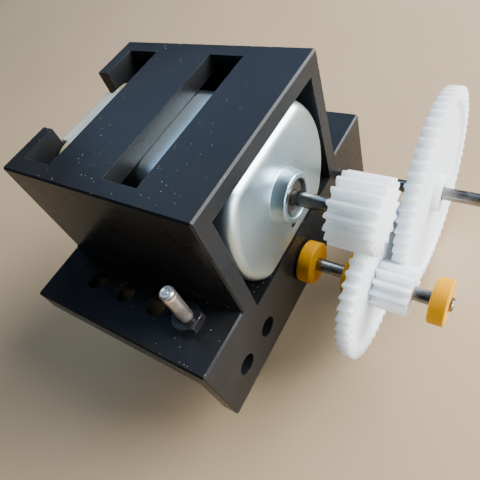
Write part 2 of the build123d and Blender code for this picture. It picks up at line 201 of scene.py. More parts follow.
# ------------------------------------------------------------------ surfaces
@dataclass
class Stack:
    """Outlines stacked along the shafts' direction, joined into one surface."""

    rings: list[np.ndarray] = field(default_factory=list)

    def add(self, outline: Outline, x: float) -> Stack:
        """Adds one outline at a distance x along the shafts, in millimetres."""
        self.rings.append(np.column_stack([np.full(len(outline), x), outline]))
        return self

    def edge(self, outline: Outline, x: float, radius: float, rising: bool, forward: bool,
             steps: int = 4) -> Stack:
        """Adds a rounded rim: a quarter circle of insets from face to side, or back.

        Args:
            outline: The outline at the side.
            x: Place of the face along the shafts in millimetres.
            radius: Radius of the rim in millimetres.
            rising: True from the face out to the side, False from side to face.
            forward: True if the face looks along +X.
            steps: Number of straight steps in the quarter circle.

        Returns:
            The stack itself.
        """
        turn = np.linspace(0, math.pi / 2, steps + 1)
        if not rising:
            turn = turn[::-1]
        sign = 1 if forward else -1
        for angle in turn:
            depth = radius * (1 - math.cos(angle))
            self.add(inset(outline, radius * (1 - math.sin(angle))), x - sign * depth)
        return self

    def surface(self, centre: tuple[float, float], closed: bool) -> Shell:
        """Works out the points and quads of the joined surface.

        Args:
            centre: Y and Z of the axis in millimetres.
            closed: True joins the last ring to the first; False leaves both ends,
                which then have to be single points.

        Returns:
            Points in metres and quads as indices.
        """
        grid = np.stack(self.rings) + np.array([0.0, *centre])
        rows, columns = grid.shape[:2]
        return grid.reshape(-1, 3) * MM, quads(rows, columns, closed, True)


def quads(rows: int, columns: int, close_rows: bool, close_columns: bool) -> np.ndarray:
    """Indices of the quads of a grid, wrapped round where it is closed.

    Args:
        rows: Number of rows of points.
        columns: Number of points in a row.
        close_rows: Whether the last row joins the first.
        close_columns: Whether the last column joins the first.

    Returns:
        An array of shape (quads, 4).
    """
    row, column = np.meshgrid(
        np.arange(rows if close_rows else rows - 1),
        np.arange(columns if close_columns else columns - 1),
        indexing="ij",
    )
    next_row, next_column = (row + 1) % rows, (column + 1) % columns
    corners = [
        row * columns + column,
        row * columns + next_column,
        next_row * columns + next_column,
        next_row * columns + column,
    ]
    return np.stack(corners, axis=-1).reshape(-1, 4)


def enclosed_volume(points: np.ndarray, faces: np.ndarray) -> float:
    """Volume inside a closed surface of quads, negative if it is inside out.

    Each quad adds a third of its area vector dotted with its middle.

    Args:
        points: Points in metres.
        faces: Quads as indices.

    Returns:
        The volume in cubic metres.
    """
    a, b, c, d = (points[faces[:, k]] for k in range(4))
    area = 0.5 * np.cross(c - a, d - b)
    return float(np.einsum("ij,ij->", (a + b + c + d) / 4, area) / 3)


def new_piece(name: str, shells: Sequence[Shell]) -> bpy.types.Object:
    """Makes one object from closed shells, facing outwards, seams merged.

    Args:
        name: The object's name.
        shells: Pairs of points in metres and quads.

    Returns:
        The new object, linked to the scene, at the origin.
    """
    all_points: list[np.ndarray] = []
    all_faces: list[np.ndarray] = []
    start = 0
    for points, faces in shells:
        if enclosed_volume(points, faces) < 0:
            faces = faces[:, ::-1]
        all_points.append(points)
        all_faces.append(faces + start)
        start += len(points)
    mesh = bpy.data.meshes.new(name)
    corners, sides = np.concatenate(all_points), np.concatenate(all_faces)
    mesh.from_pydata(corners.tolist(), [], sides.tolist())
    work = bmesh.new()
    work.from_mesh(mesh)
    bmesh.ops.remove_doubles(work, verts=work.verts[:], dist=SAME_POINT)
    bmesh.ops.dissolve_degenerate(work, edges=work.edges[:], dist=NO_LENGTH)
    work.to_mesh(mesh)
    work.free()
    mesh.shade_smooth()
    mesh.set_sharp_from_angle(angle=SMOOTH_ANGLE)
    piece = bpy.data.objects.new(name, mesh)
    bpy.context.scene.collection.objects.link(piece)
    return piece


def turned(name: str, profile: Section, centre: tuple[float, float], solid: bool,
           count: int = 96) -> bpy.types.Object:
    """Turns a profile round the shafts' direction: radius(v) carried round a circle.

    Args:
        name: The object's name.
        profile: Pairs of x and radius in millimetres, in order along the section.
        centre: Y and Z of the axis in millimetres.
        solid: True if the profile starts and ends on the axis.
        count: Number of points round the circle.

    Returns:
        The new object.
    """
    unit = circle(1.0, count)
    stack = Stack()
    for x, radius in profile:
        stack.add(unit * radius, x)
    return new_piece(name, [stack.surface(centre, closed=not solid)])


def soft_profile(corners: Sequence[tuple[float, float, float]], closed: bool,
                 steps: int = 4) -> Section:
    """Rounds the corners of a section: each becomes a quadratic curve.

    The curve runs from a point at the radius before the corner to one at the
    radius after it, weighted (1-t)^2, 2t(1-t) and t^2 on start, corner and end.

    Args:
        corners: Triples of x, height and corner radius in millimetres.
        closed: Whether the last corner joins the first.
        steps: Straight steps in each curve.

    Returns:
        The section's points.
    """
    place = np.array([corner[:2] for corner in corners])
    radii = [corner[2] for corner in corners]
    result: list[tuple[float, float]] = []
    share = np.linspace(0, 1, steps + 1)[:, None]
    for index, (here, radius) in enumerate(zip(place, radii)):
        at_end = index in (0, len(place) - 1)
        if radius == 0 or (at_end and not closed):
            result.append((float(here[0]), float(here[1])))
            continue
        before, after = place[index - 1] - here, place[(index + 1) % len(place)] - here
        start = here + before / np.linalg.norm(before) * radius
        end = here + after / np.linalg.norm(after) * radius
        curve = (1 - share) ** 2 * start + 2 * share * (1 - share) * here + share**2 * end
        result.extend(map(tuple, curve.tolist()))
    return result


# ---------------------------------------------------------------- node groups
class Nodes:
    """A short way to add and join nodes in one tree."""

    def __init__(self, tree: bpy.types.NodeTree) -> None:
        """Keeps the tree that nodes are added to."""
        self.tree = tree

    def add(self, kind: str, **settings: object) -> bpy.types.Node:
        """Adds a node and sets its properties.

        Args:
            kind: The node's type.
            **settings: Properties and their values.

        Returns:
            The new node.
        """
        node = self.tree.nodes.new(kind)
        for key, value in settings.items():
            setattr(node, key, value)
        return node

    def join(self, source: bpy.types.NodeSocket, target: bpy.types.NodeSocket) -> None:
        """Links an output to an input."""
        self.tree.links.new(source, target)

    def math(self, operation: str, first: object, second: object,
             clamp: bool = False) -> bpy.types.NodeSocket:
        """Adds a Math node.

        Args:
            operation: What it works out.
            first: A socket or a number.
            second: A socket or a number.
            clamp: Whether the result is kept between 0 and 1.

        Returns:
            Its output.
        """
        node = self.add("ShaderNodeMath", operation=operation, use_clamp=clamp)
        for slot, value in enumerate((first, second)):
            self.feed(value, node.inputs[slot])
        return node.outputs[0]

    def feed(self, value: object, target: bpy.types.NodeSocket) -> None:
        """Links a socket to an input, or sets a number or a colour on it.

        Args:
            value: A socket, a number or a colour.
            target: The input.
        """
        if isinstance(value, bpy.types.NodeSocket):
            self.join(value, target)
        else:
            target.default_value = value

    def noise(self, vector: bpy.types.NodeSocket, scale: object, detail: float = 3.0,
              roughness: float = 0.55) -> bpy.types.NodeSocket:
        """Adds a noise texture.

        Args:
            vector: Where it is read.
            scale: A socket or a number: how many features to the metre.
            detail: How many finer noises are added.
            roughness: How strong the finer noises are.

        Returns:
            Its value.
        """
        node = self.add("ShaderNodeTexNoise")
        self.join(vector, node.inputs["Vector"])
        self.feed(scale, node.inputs["Scale"])
        node.inputs["Detail"].default_value = detail
        node.inputs["Roughness"].default_value = roughness
        return node.outputs[0]

    def ramp(self, value: bpy.types.NodeSocket, low: float, high: float) -> bpy.types.NodeSocket:
        """Maps low to 0 and high to 1 along a smooth step.

        Args:
            value: The socket that is mapped.
            low: What becomes 0.
            high: What becomes 1.

        Returns:
            The mapped value.
        """
        node = self.add("ShaderNodeMapRange", interpolation_type="SMOOTHSTEP")
        self.join(value, node.inputs[0])
        node.inputs[1].default_value = low
        node.inputs[2].default_value = high
        return node.outputs[0]

    def blend(self, mask: bpy.types.NodeSocket, low: object,
              high: object) -> bpy.types.NodeSocket:
        """Mixes two colours by a mask.

        Args:
            mask: 0 gives the first colour, 1 the second.
            low: A socket or a colour.
            high: A socket or a colour.

        Returns:
            The mixed colour.
        """
        node = self.add("ShaderNodeMix", data_type="RGBA")
        self.join(mask, node.inputs[0])
        self.feed(low, node.inputs[6])
        self.feed(high, node.inputs[7])
        return node.outputs[2]


def new_group(name: str, inputs: dict[str, float],
              output: str) -> tuple[Nodes, bpy.types.Node, bpy.types.Node]:
    """Makes a shader node group with named float inputs and one float output.

    Args:
        name: The group's name.
        inputs: Input names and their default values.
        output: The output's name.

    Returns:
        The tree's helper, its input node and its output node.
    """
    kind = "NodeSocketFloat"
    tree = bpy.data.node_groups.new(name, "ShaderNodeTree")
    for label, value in inputs.items():
        socket = tree.interface.new_socket(name=label, in_out="INPUT", socket_type=kind)
        socket.default_value = value
    tree.interface.new_socket(name=output, in_out="OUTPUT", socket_type=kind)
    nodes = Nodes(tree)
    return nodes, nodes.add("NodeGroupInput"), nodes.add("NodeGroupOutput")


class Effects:
    """Shader effects that several finishes share, each built once."""

    BEVEL_SAMPLES = 6
    EDGE_RANGE = (0.02, 0.22)  # how far the normals are apart where the lighter edge tone (wear and painted highlight) starts and is full
    BREAK_RANGE = (0.35, 0.65)  # noise values where the lighter edge tone (wear and painted highlight) starts and is full
    SPECK_CHANCE = 0.6  # cells whose red is under this hold no dust
    PATCH_SCALE = 90.0  # features to the metre, as are the other scales
    PATCH_RANGE = (0.4, 0.7)  # noise values where dust starts and is full
    UPWARD_RANGE = (0.3, 0.8)  # how far up a face looks where dust starts and is full
    BROAD_SCALE = 160.0
    BROAD_DEPTH = 1.4  # of the broad grain, against 1 for the fine grain
    ACROSS_SCALE = 120.0

    def __init__(self) -> None:
        """Builds the groups."""
        self.edge_wear_and_highlight = self._edge_wear_and_highlight()
        self.specks = self._specks()
        self.grain = self._grain()
        self.turning_lines = self._turning_lines()

    def _edge_wear_and_highlight(self) -> bpy.types.NodeTree:
        """A mask of edges that are lightened as wear and as a painted highlight, broken by noise.

        It is 1 minus how far a rounded normal agrees with the true one.

        Returns:
            The group, with the inputs Radius, Amount and Break Up.
        """
        nodes, given, result = new_group(
            "edge_wear_and_highlight", {"Radius": 0.00035, "Amount": 1.0, "Break Up": 300.0}, "Mask")
        rounded = nodes.add("ShaderNodeBevel", samples=self.BEVEL_SAMPLES)
        nodes.join(given.outputs["Radius"], rounded.inputs["Radius"])
        true = nodes.add("ShaderNodeNewGeometry")
        agree = nodes.add("ShaderNodeVectorMath", operation="DOT_PRODUCT")
        nodes.join(rounded.outputs[0], agree.inputs[0])
        nodes.join(true.outputs["Normal"], agree.inputs[1])
        apart = nodes.math("SUBTRACT", 1.0, agree.outputs["Value"])
        place = nodes.add("ShaderNodeTexCoord").outputs["Object"]
        patchy = nodes.noise(place, given.outputs["Break Up"], 4.0, 0.5)
        broken = nodes.ramp(patchy, *self.BREAK_RANGE)
        # worn holds the edges that are lightened as wear and as a painted highlight
        worn = nodes.math("MULTIPLY", nodes.ramp(apart, *self.EDGE_RANGE), broken)
        worn = nodes.math("MULTIPLY", worn, given.outputs["Amount"], clamp=True)
        nodes.join(worn, result.inputs[0])
        return nodes.tree

    def _specks(self) -> bpy.types.NodeTree:
        """A mask of fine dust: small spots in patches, on faces that look up.

        A spot is the middle of a Voronoi cell, in the cells whose own colour is high.

        Returns:
            The group, with the inputs Scale, Size and Amount.
        """
        nodes, given, result = new_group(
            "specks", {"Scale": 1500.0, "Size": 0.13, "Amount": 1.0}, "Mask")
        place = nodes.add("ShaderNodeTexCoord")
        cells = nodes.add("ShaderNodeTexVoronoi")
        nodes.join(place.outputs["Object"], cells.inputs["Vector"])
        nodes.join(given.outputs["Scale"], cells.inputs["Scale"])
        near = nodes.math("LESS_THAN", cells.outputs["Distance"], given.outputs["Size"])
        chosen = nodes.add("ShaderNodeSeparateColor")
        nodes.join(cells.outputs["Color"], chosen.inputs[0])
        rare = nodes.math("GREATER_THAN", chosen.outputs[0], self.SPECK_CHANCE)
        spot = nodes.math("MULTIPLY", near, rare)
        patchy = nodes.noise(place.outputs["Object"], self.PATCH_SCALE, 2.0)
        patch = nodes.ramp(patchy, *self.PATCH_RANGE)
        facing = nodes.add("ShaderNodeSeparateXYZ")
        nodes.join(place.outputs["Normal"], facing.inputs[0])
        upward = nodes.ramp(facing.outputs["Z"], *self.UPWARD_RANGE)
        settled = nodes.math("MULTIPLY", patch, upward)
        speck = nodes.math("MULTIPLY", spot, settled)
        speck = nodes.math("MULTIPLY", speck, given.outputs["Amount"], clamp=True)
        nodes.join(speck, result.inputs[0])
        return nodes.tree

    def _grain(self) -> bpy.types.NodeTree:
        """A height of fine moulded or plated grain: a fine and a broad noise added.

        Returns:
            The group, with the inputs Fineness and Depth.
        """
        nodes, given, result = new_group("grain", {"Fineness": 2500.0, "Depth": 1.0}, "Height")
        place = nodes.add("ShaderNodeTexCoord").outputs["Object"]
        fine = nodes.noise(place, given.outputs["Fineness"], 4.0, 0.5)
        broad = nodes.noise(place, self.BROAD_SCALE, 2.0)
        total = nodes.math("ADD", fine, nodes.math("MULTIPLY", broad, self.BROAD_DEPTH))
        nodes.join(nodes.math("MULTIPLY", total, given.outputs["Depth"]), result.inputs[0])
        return nodes.tree

    def _turning_lines(self) -> bpy.types.NodeTree:
        """A height of fine lines round a turned piece.

        It is a noise that changes fast along the shafts and slowly across them.

        Returns:
            The group, with the inputs Fineness and Depth.
        """
        nodes, given, result = new_group(
            "turning_lines", {"Fineness": 9000.0, "Depth": 1.0}, "Height")
        place = nodes.add("ShaderNodeSeparateXYZ")
        nodes.join(nodes.add("ShaderNodeTexCoord").outputs["Object"], place.inputs[0])
        line = nodes.add("ShaderNodeCombineXYZ")
        stretches = (given.outputs["Fineness"], self.ACROSS_SCALE, self.ACROSS_SCALE)
        for axis, stretch in enumerate(stretches):
            nodes.join(nodes.math("MULTIPLY", place.outputs[axis], stretch), line.inputs[axis])
        height = nodes.noise(line.outputs[0], 1.0, 3.0)
        nodes.join(nodes.math("MULTIPLY", height, given.outputs["Depth"]), result.inputs[0])
        return nodes.tree


class Pattern(Enum):
    """What a surface's fine relief is made by, as the name of the shared effect."""

    MOULDED = "grain"
    TURNED = "turning_lines"


MOTTLE_RANGE = (0.3, 0.7)  # noise values that give the first and the second tone
WEAR_AND_HIGHLIGHT_SMOOTHS = 0.1  # how much smoother an edge under the wear and painted-highlight mask is
DUST_ROUGHENS = 0.4  # how much rougher a speck of dust is
LIGHT_SPREAD = (1.0, 0.9, 0.8)  # how far red, green and blue spread under a surface


@dataclass(frozen=True)
class Finish:
    """One surface finish, as numbers for its shader and for the shared effects.

    The base colour varies between two tones by a soft noise. Edges are lightened,
    partly as wear and partly as a painted highlight, and specks of dust are laid over
    it; roughness follows the same noises. Scales are features to the metre, relief is
    in millimetres, and the edge tone's radius and subsurface_scale are in metres.
    """

    name: str
    tone: Colour
    second_tone: Colour
    roughness: float
    metallic: float = 0.0
    specular: float = 0.5
    subsurface: float = 0.0
    subsurface_scale: float = 0.0012
    mottle_scale: float = 220.0
    roughness_spread: float = 0.08
    pattern: Pattern = Pattern.MOULDED
    pattern_scale: float = 2500.0
    relief: float = 0.02
    # The edge tone lightens edges, partly as wear and partly as a painted highlight where light
    # catches them
    wear_and_highlight_tone: Colour = (0.5, 0.5, 0.5)
    wear_and_highlight: float = 0.0
    wear_and_highlight_radius: float = 0.00035
    dust_tone: Colour = (0.62, 0.58, 0.53)
    dust: float = 0.0

    def material(self, effects: Effects) -> bpy.types.Material:
        """Builds the material.

        Args:
            effects: The shared node groups.

        Returns:
            A material whose numbers sit on the Principled shader itself.
        """
        material = bpy.data.materials.new(self.name)
        material.use_nodes = True
        material.node_tree.nodes.clear()
        nodes = Nodes(material.node_tree)
        shader = nodes.add("ShaderNodeBsdfPrincipled")
        output = nodes.add("ShaderNodeOutputMaterial")
        nodes.join(shader.outputs[0], output.inputs["Surface"])
        place = nodes.add("ShaderNodeTexCoord").outputs["Object"]
        mottle = nodes.ramp(nodes.noise(place, self.mottle_scale, 5.0), *MOTTLE_RANGE)
        colour = nodes.blend(mottle, (*self.tone, 1), (*self.second_tone, 1))
        rough = nodes.math("ADD", nodes.math("MULTIPLY", mottle, self.roughness_spread),
                           self.roughness - self.roughness_spread / 2)
        # Edges lightened partly as wear and partly as a painted highlight
        if self.wear_and_highlight > 0:
            worn = self._effect(nodes, effects.edge_wear_and_highlight, Amount=self.wear_and_highlight,
                                Radius=self.wear_and_highlight_radius)
            colour = nodes.blend(worn, colour, (*self.wear_and_highlight_tone, 1))
            rough = nodes.math("SUBTRACT", rough, nodes.math("MULTIPLY", worn, WEAR_AND_HIGHLIGHT_SMOOTHS))
        if self.dust > 0:
            dusty = self._effect(nodes, effects.specks, Amount=self.dust)
            colour = nodes.blend(dusty, colour, (*self.dust_tone, 1))
            rougher = nodes.math("MULTIPLY", dusty, DUST_ROUGHENS)
            rough = nodes.math("ADD", rough, rougher, clamp=True)
        nodes.join(colour, shader.inputs["Base Color"])
        nodes.join(rough, shader.inputs["Roughness"])
        shader.inputs["Metallic"].default_value = self.metallic
        shader.inputs["Specular IOR Level"].default_value = self.specular
        if self.subsurface > 0:
            shader.inputs["Subsurface Weight"].default_value = self.subsurface
            shader.inputs["Subsurface Radius"].default_value = LIGHT_SPREAD
            shader.inputs["Subsurface Scale"].default_value = self.subsurface_scale
        relief = getattr(effects, self.pattern.value)
        height = self._effect(nodes, relief, Fineness=self.pattern_scale)
        bump = nodes.add("ShaderNodeBump")
        bump.inputs["Strength"].default_value = 1.0
        bump.inputs["Distance"].default_value = self.relief * MM
        nodes.join(height, bump.inputs["Height"])
        nodes.join(bump.outputs[0], shader.inputs["Normal"])
        return material

    @staticmethod
    def _effect(nodes: Nodes, group: bpy.types.NodeTree,
                **values: float) -> bpy.types.NodeSocket:
        """Places a shared group with its own values.

        Args:
            nodes: The material's nodes.
            group: The shared group.
            **values: The group's inputs and their values here.

        Returns:
            Its output.
        """
        node = nodes.add("ShaderNodeGroup", node_tree=group)
        for label, value in values.items():
            node.inputs[label].default_value = value
        return node.outputs[0]


# ------------------------------------------------------------------- finishes
# Its lighter edge tone is partly wear and partly a painted highlight along the bracket's edges
BLACK_PLASTIC = Finish(
    "black_moulded_plastic", tone=(0.011, 0.0112, 0.012), second_tone=(0.015, 0.0153, 0.0165),
    roughness=0.28, specular=0.16, roughness_spread=0.03, mottle_scale=140.0,
    pattern_scale=2600.0, relief=0.003, wear_and_highlight_tone=(0.20, 0.22, 0.25), wear_and_highlight=0.6,
    wear_and_highlight_radius=0.00007, dust=0.5,
)
ZINC_PLATE = Finish(
    "zinc_plated_steel", tone=(0.47, 0.60, 0.67), second_tone=(0.56, 0.66, 0.69), roughness=0.32,
    metallic=1.0, roughness_spread=0.12, mottle_scale=110.0, pattern_scale=1800.0, relief=0.004,
)
SINTERED_BRONZE = Finish(
    "sintered_bronze", tone=(0.06, 0.05, 0.04), second_tone=(0.12, 0.105, 0.09), roughness=0.5,
    metallic=0.7, mottle_scale=900.0, pattern_scale=6000.0, relief=0.02,
)
GROUND_STEEL = Finish(
    "ground_steel", tone=(0.20, 0.19, 0.175), second_tone=(0.30, 0.295, 0.29), roughness=0.25,
    metallic=1.0, roughness_spread=0.1, mottle_scale=260.0, pattern=Pattern.TURNED,
    pattern_scale=12000.0, relief=0.003,
)
WHITE_NYLON = Finish(
    "white_nylon", tone=(0.80, 0.87, 0.95), second_tone=(0.85, 0.91, 0.96), roughness=0.42,
    specular=0.4, subsurface=0.85, subsurface_scale=0.004, mottle_scale=160.0,
    pattern_scale=1600.0, relief=0.006,
)
YELLOW_NYLON = Finish(
    "yellow_nylon", tone=(0.66, 0.28, 0.0), second_tone=(0.74, 0.34, 0.0), roughness=0.45,
    specular=0.1, subsurface=0.1, mottle_scale=240.0, pattern_scale=2200.0, relief=0.006,
)
NICKEL_PLATE = Finish(
    "nickel_plated_steel", tone=(0.74, 0.64, 0.57), second_tone=(0.88, 0.80, 0.74), roughness=0.3,
    metallic=0.9, roughness_spread=0.06, mottle_scale=900.0, pattern_scale=4000.0, relief=0.002,
)
# Its bright edge tone is a painted highlight on the nut's corners and edges, partly wear
BLACK_STEEL = Finish(
    "blackened_steel", tone=(0.010, 0.010, 0.012), second_tone=(0.020, 0.020, 0.024),
    roughness=0.3, metallic=0.3, mottle_scale=700.0, pattern_scale=3000.0, relief=0.008,
    wear_and_highlight_tone=(0.55, 0.57, 0.62), wear_and_highlight=0.9, wear_and_highlight_radius=0.00015,
)
# The cap's sides: a deeper yellow than its pale middle, as painted shade on its round sides
SHADED_CAP_SIDES = Finish(
    "end_cap_sides_painted_shade", tone=(0.50, 0.43, 0.22), second_tone=(0.58, 0.50, 0.28), roughness=0.45,
    subsurface=0.15, pattern_scale=2000.0, relief=0.008, dust=0.2,
)
PALE_NOSE = Finish(
    "pale_cap_nose", tone=(0.50, 0.55, 0.48), second_tone=(0.60, 0.64, 0.57), roughness=0.4,
    subsurface=0.15, pattern_scale=2000.0, relief=0.006, dust=0.2,
)
SPRING_BRASS = Finish(
    "spring_brass", tone=(0.62, 0.44, 0.18), second_tone=(0.74, 0.56, 0.26), roughness=0.3,
    metallic=1.0, mottle_scale=500.0, pattern_scale=3000.0, relief=0.004,
)
COPPER_WIRE = Finish(
    "enamelled_copper_wire", tone=(0.42, 0.13, 0.05), second_tone=(0.58, 0.22, 0.09),
    roughness=0.3, metallic=0.8, pattern=Pattern.TURNED, pattern_scale=4000.0, relief=0.05,
)
TURNED_COPPER = Finish(
    "turned_copper", tone=(0.62, 0.30, 0.17), second_tone=(0.72, 0.40, 0.25), roughness=0.3,
    metallic=1.0, pattern=Pattern.TURNED, pattern_scale=9000.0, relief=0.004,
)
LAMINATED_STEEL = Finish(
    "laminated_steel", tone=(0.30, 0.30, 0.31), second_tone=(0.42, 0.42, 0.43), roughness=0.42,
    metallic=1.0, pattern=Pattern.TURNED, pattern_scale=2500.0, relief=0.04,
)
FERRITE = Finish(
    "grey_ferrite", tone=(0.06, 0.06, 0.065), second_tone=(0.1, 0.1, 0.105), roughness=0.7,
    mottle_scale=500.0, pattern_scale=2400.0, relief=0.03,
)
BRUSH_CARBON = Finish(
    "brush_carbon", tone=(0.02, 0.02, 0.02), second_tone=(0.04, 0.04, 0.042), roughness=0.6,
    mottle_scale=900.0, pattern_scale=5000.0, relief=0.02,
)
STUDIO_FLOOR = Finish(
    "studio_floor", tone=(0.45, 0.325, 0.19), second_tone=(0.48, 0.35, 0.215), roughness=0.85,
    specular=0.2, mottle_scale=14.0, pattern_scale=300.0, relief=0.02,
)


# ------------------------------------------------------------------- assembly
class Assembly:
    """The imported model, and the way that finishes and new pieces join it."""

    def __init__(self, frame: dict) -> None:
        """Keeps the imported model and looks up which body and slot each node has.
        """
        record = frame["record"]
        bodies = record["behaviour"]["bodies"]
        self.nodes: dict[str, bpy.types.Object] = frame["nodes"]
        self.bodies = {node: body for body, members in bodies.items() for node in members}
        self.slots = {part["node"]: part["material_slot"] for part in record["subparts"]}
        self.joints = {joint["name"]: joint for joint in frame["joints"]}
        self.effects = Effects()
        self.materials: dict[str, bpy.types.Material] = {}

    def span(self, node: str) -> tuple[float, float]:
        """Where a node starts and ends along the shafts, in millimetres."""
        low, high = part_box(node)
        return low.x / MM, high.x / MM

    def axis(self, joint: str) -> tuple[float, float]:
        """Y and Z of a joint's axis in millimetres."""
        place = self.joints[joint]["pos_m"]
        return place[1] / MM, place[2] / MM

    def material(self, finish: Finish) -> bpy.types.Material:
        """Gives the finish's material, built the first time it is asked for.

        Args:
            finish: The finish.

        Returns:
            Its material.
        """
        if finish.name not in self.materials:
            self.materials[finish.name] = finish.material(self.effects)
        return self.materials[finish.name]

    def dress(self, node: str, finish: Finish) -> None:
        """Gives a CAD node its finish.

        Args:
            node: The node's name.
            finish: The finish of all its faces.
        """
        mesh = self.nodes[node].data
        mesh.materials.clear()
        mesh.materials.append(self.material(finish))
        log.info("%s: %s", node, finish.name)

    def stand_in(self, piece: bpy.types.Object, node: str, finish: Finish) -> None:
        """Lets a new piece stand for a CAD node, on the same body.

        Args:
            piece: The new piece, in its place.
            node: The node that it stands for.
            finish: The piece's finish.
        """
        piece.data.materials.append(self.material(finish))
        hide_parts(node)
        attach(piece, self.bodies[node])
        log.info("%s: %s, %d faces", piece.name, finish.name, len(piece.data.polygons))

    def second_finish(self, piece: bpy.types.Object, finish: Finish, half_width: float) -> None:
        """Gives another finish to the middle of a piece.

        Args:
            piece: The piece, which already has its first finish.
            finish: The finish of the faces near the middle.
            half_width: How far across from the middle the finish reaches, in millimetres.
        """
        mesh = piece.data
        mesh.materials.append(self.material(finish))
        middle = np.empty(3 * len(mesh.polygons))
        mesh.polygons.foreach_get("center", middle)
        near = (np.abs(middle.reshape(-1, 3)[:, 1]) < half_width * MM).astype(np.int32)
        mesh.polygons.foreach_set("material_index", near)
        mesh.update()


# ----------------------------------------------------------------------- motor
# The scored ring's section: half widths out from its middle, and shares of its depth
SCORED_RING = ((2, 0), (1, 0), (0.5, 1), (-0.5, 1), (-1, 0), (-2, 0))

FACE_SHARES = (0.3, 0.6, 0.9)  # how round each outline over the can's face is

MOTOR_INSIDES = {
    "rear_bearing": SINTERED_BRONZE, "field_magnets": FERRITE, "armature_core": LAMINATED_STEEL,
    "armature_windings": COPPER_WIRE, "commutator": TURNED_COPPER,
    "carbon_brushes": BRUSH_CARBON, "brush_arms": SPRING_BRASS, "motor_terminals": SPRING_BRASS,
    "front_thrust_washer": WHITE_NYLON, "rear_thrust_washer": WHITE_NYLON,
}


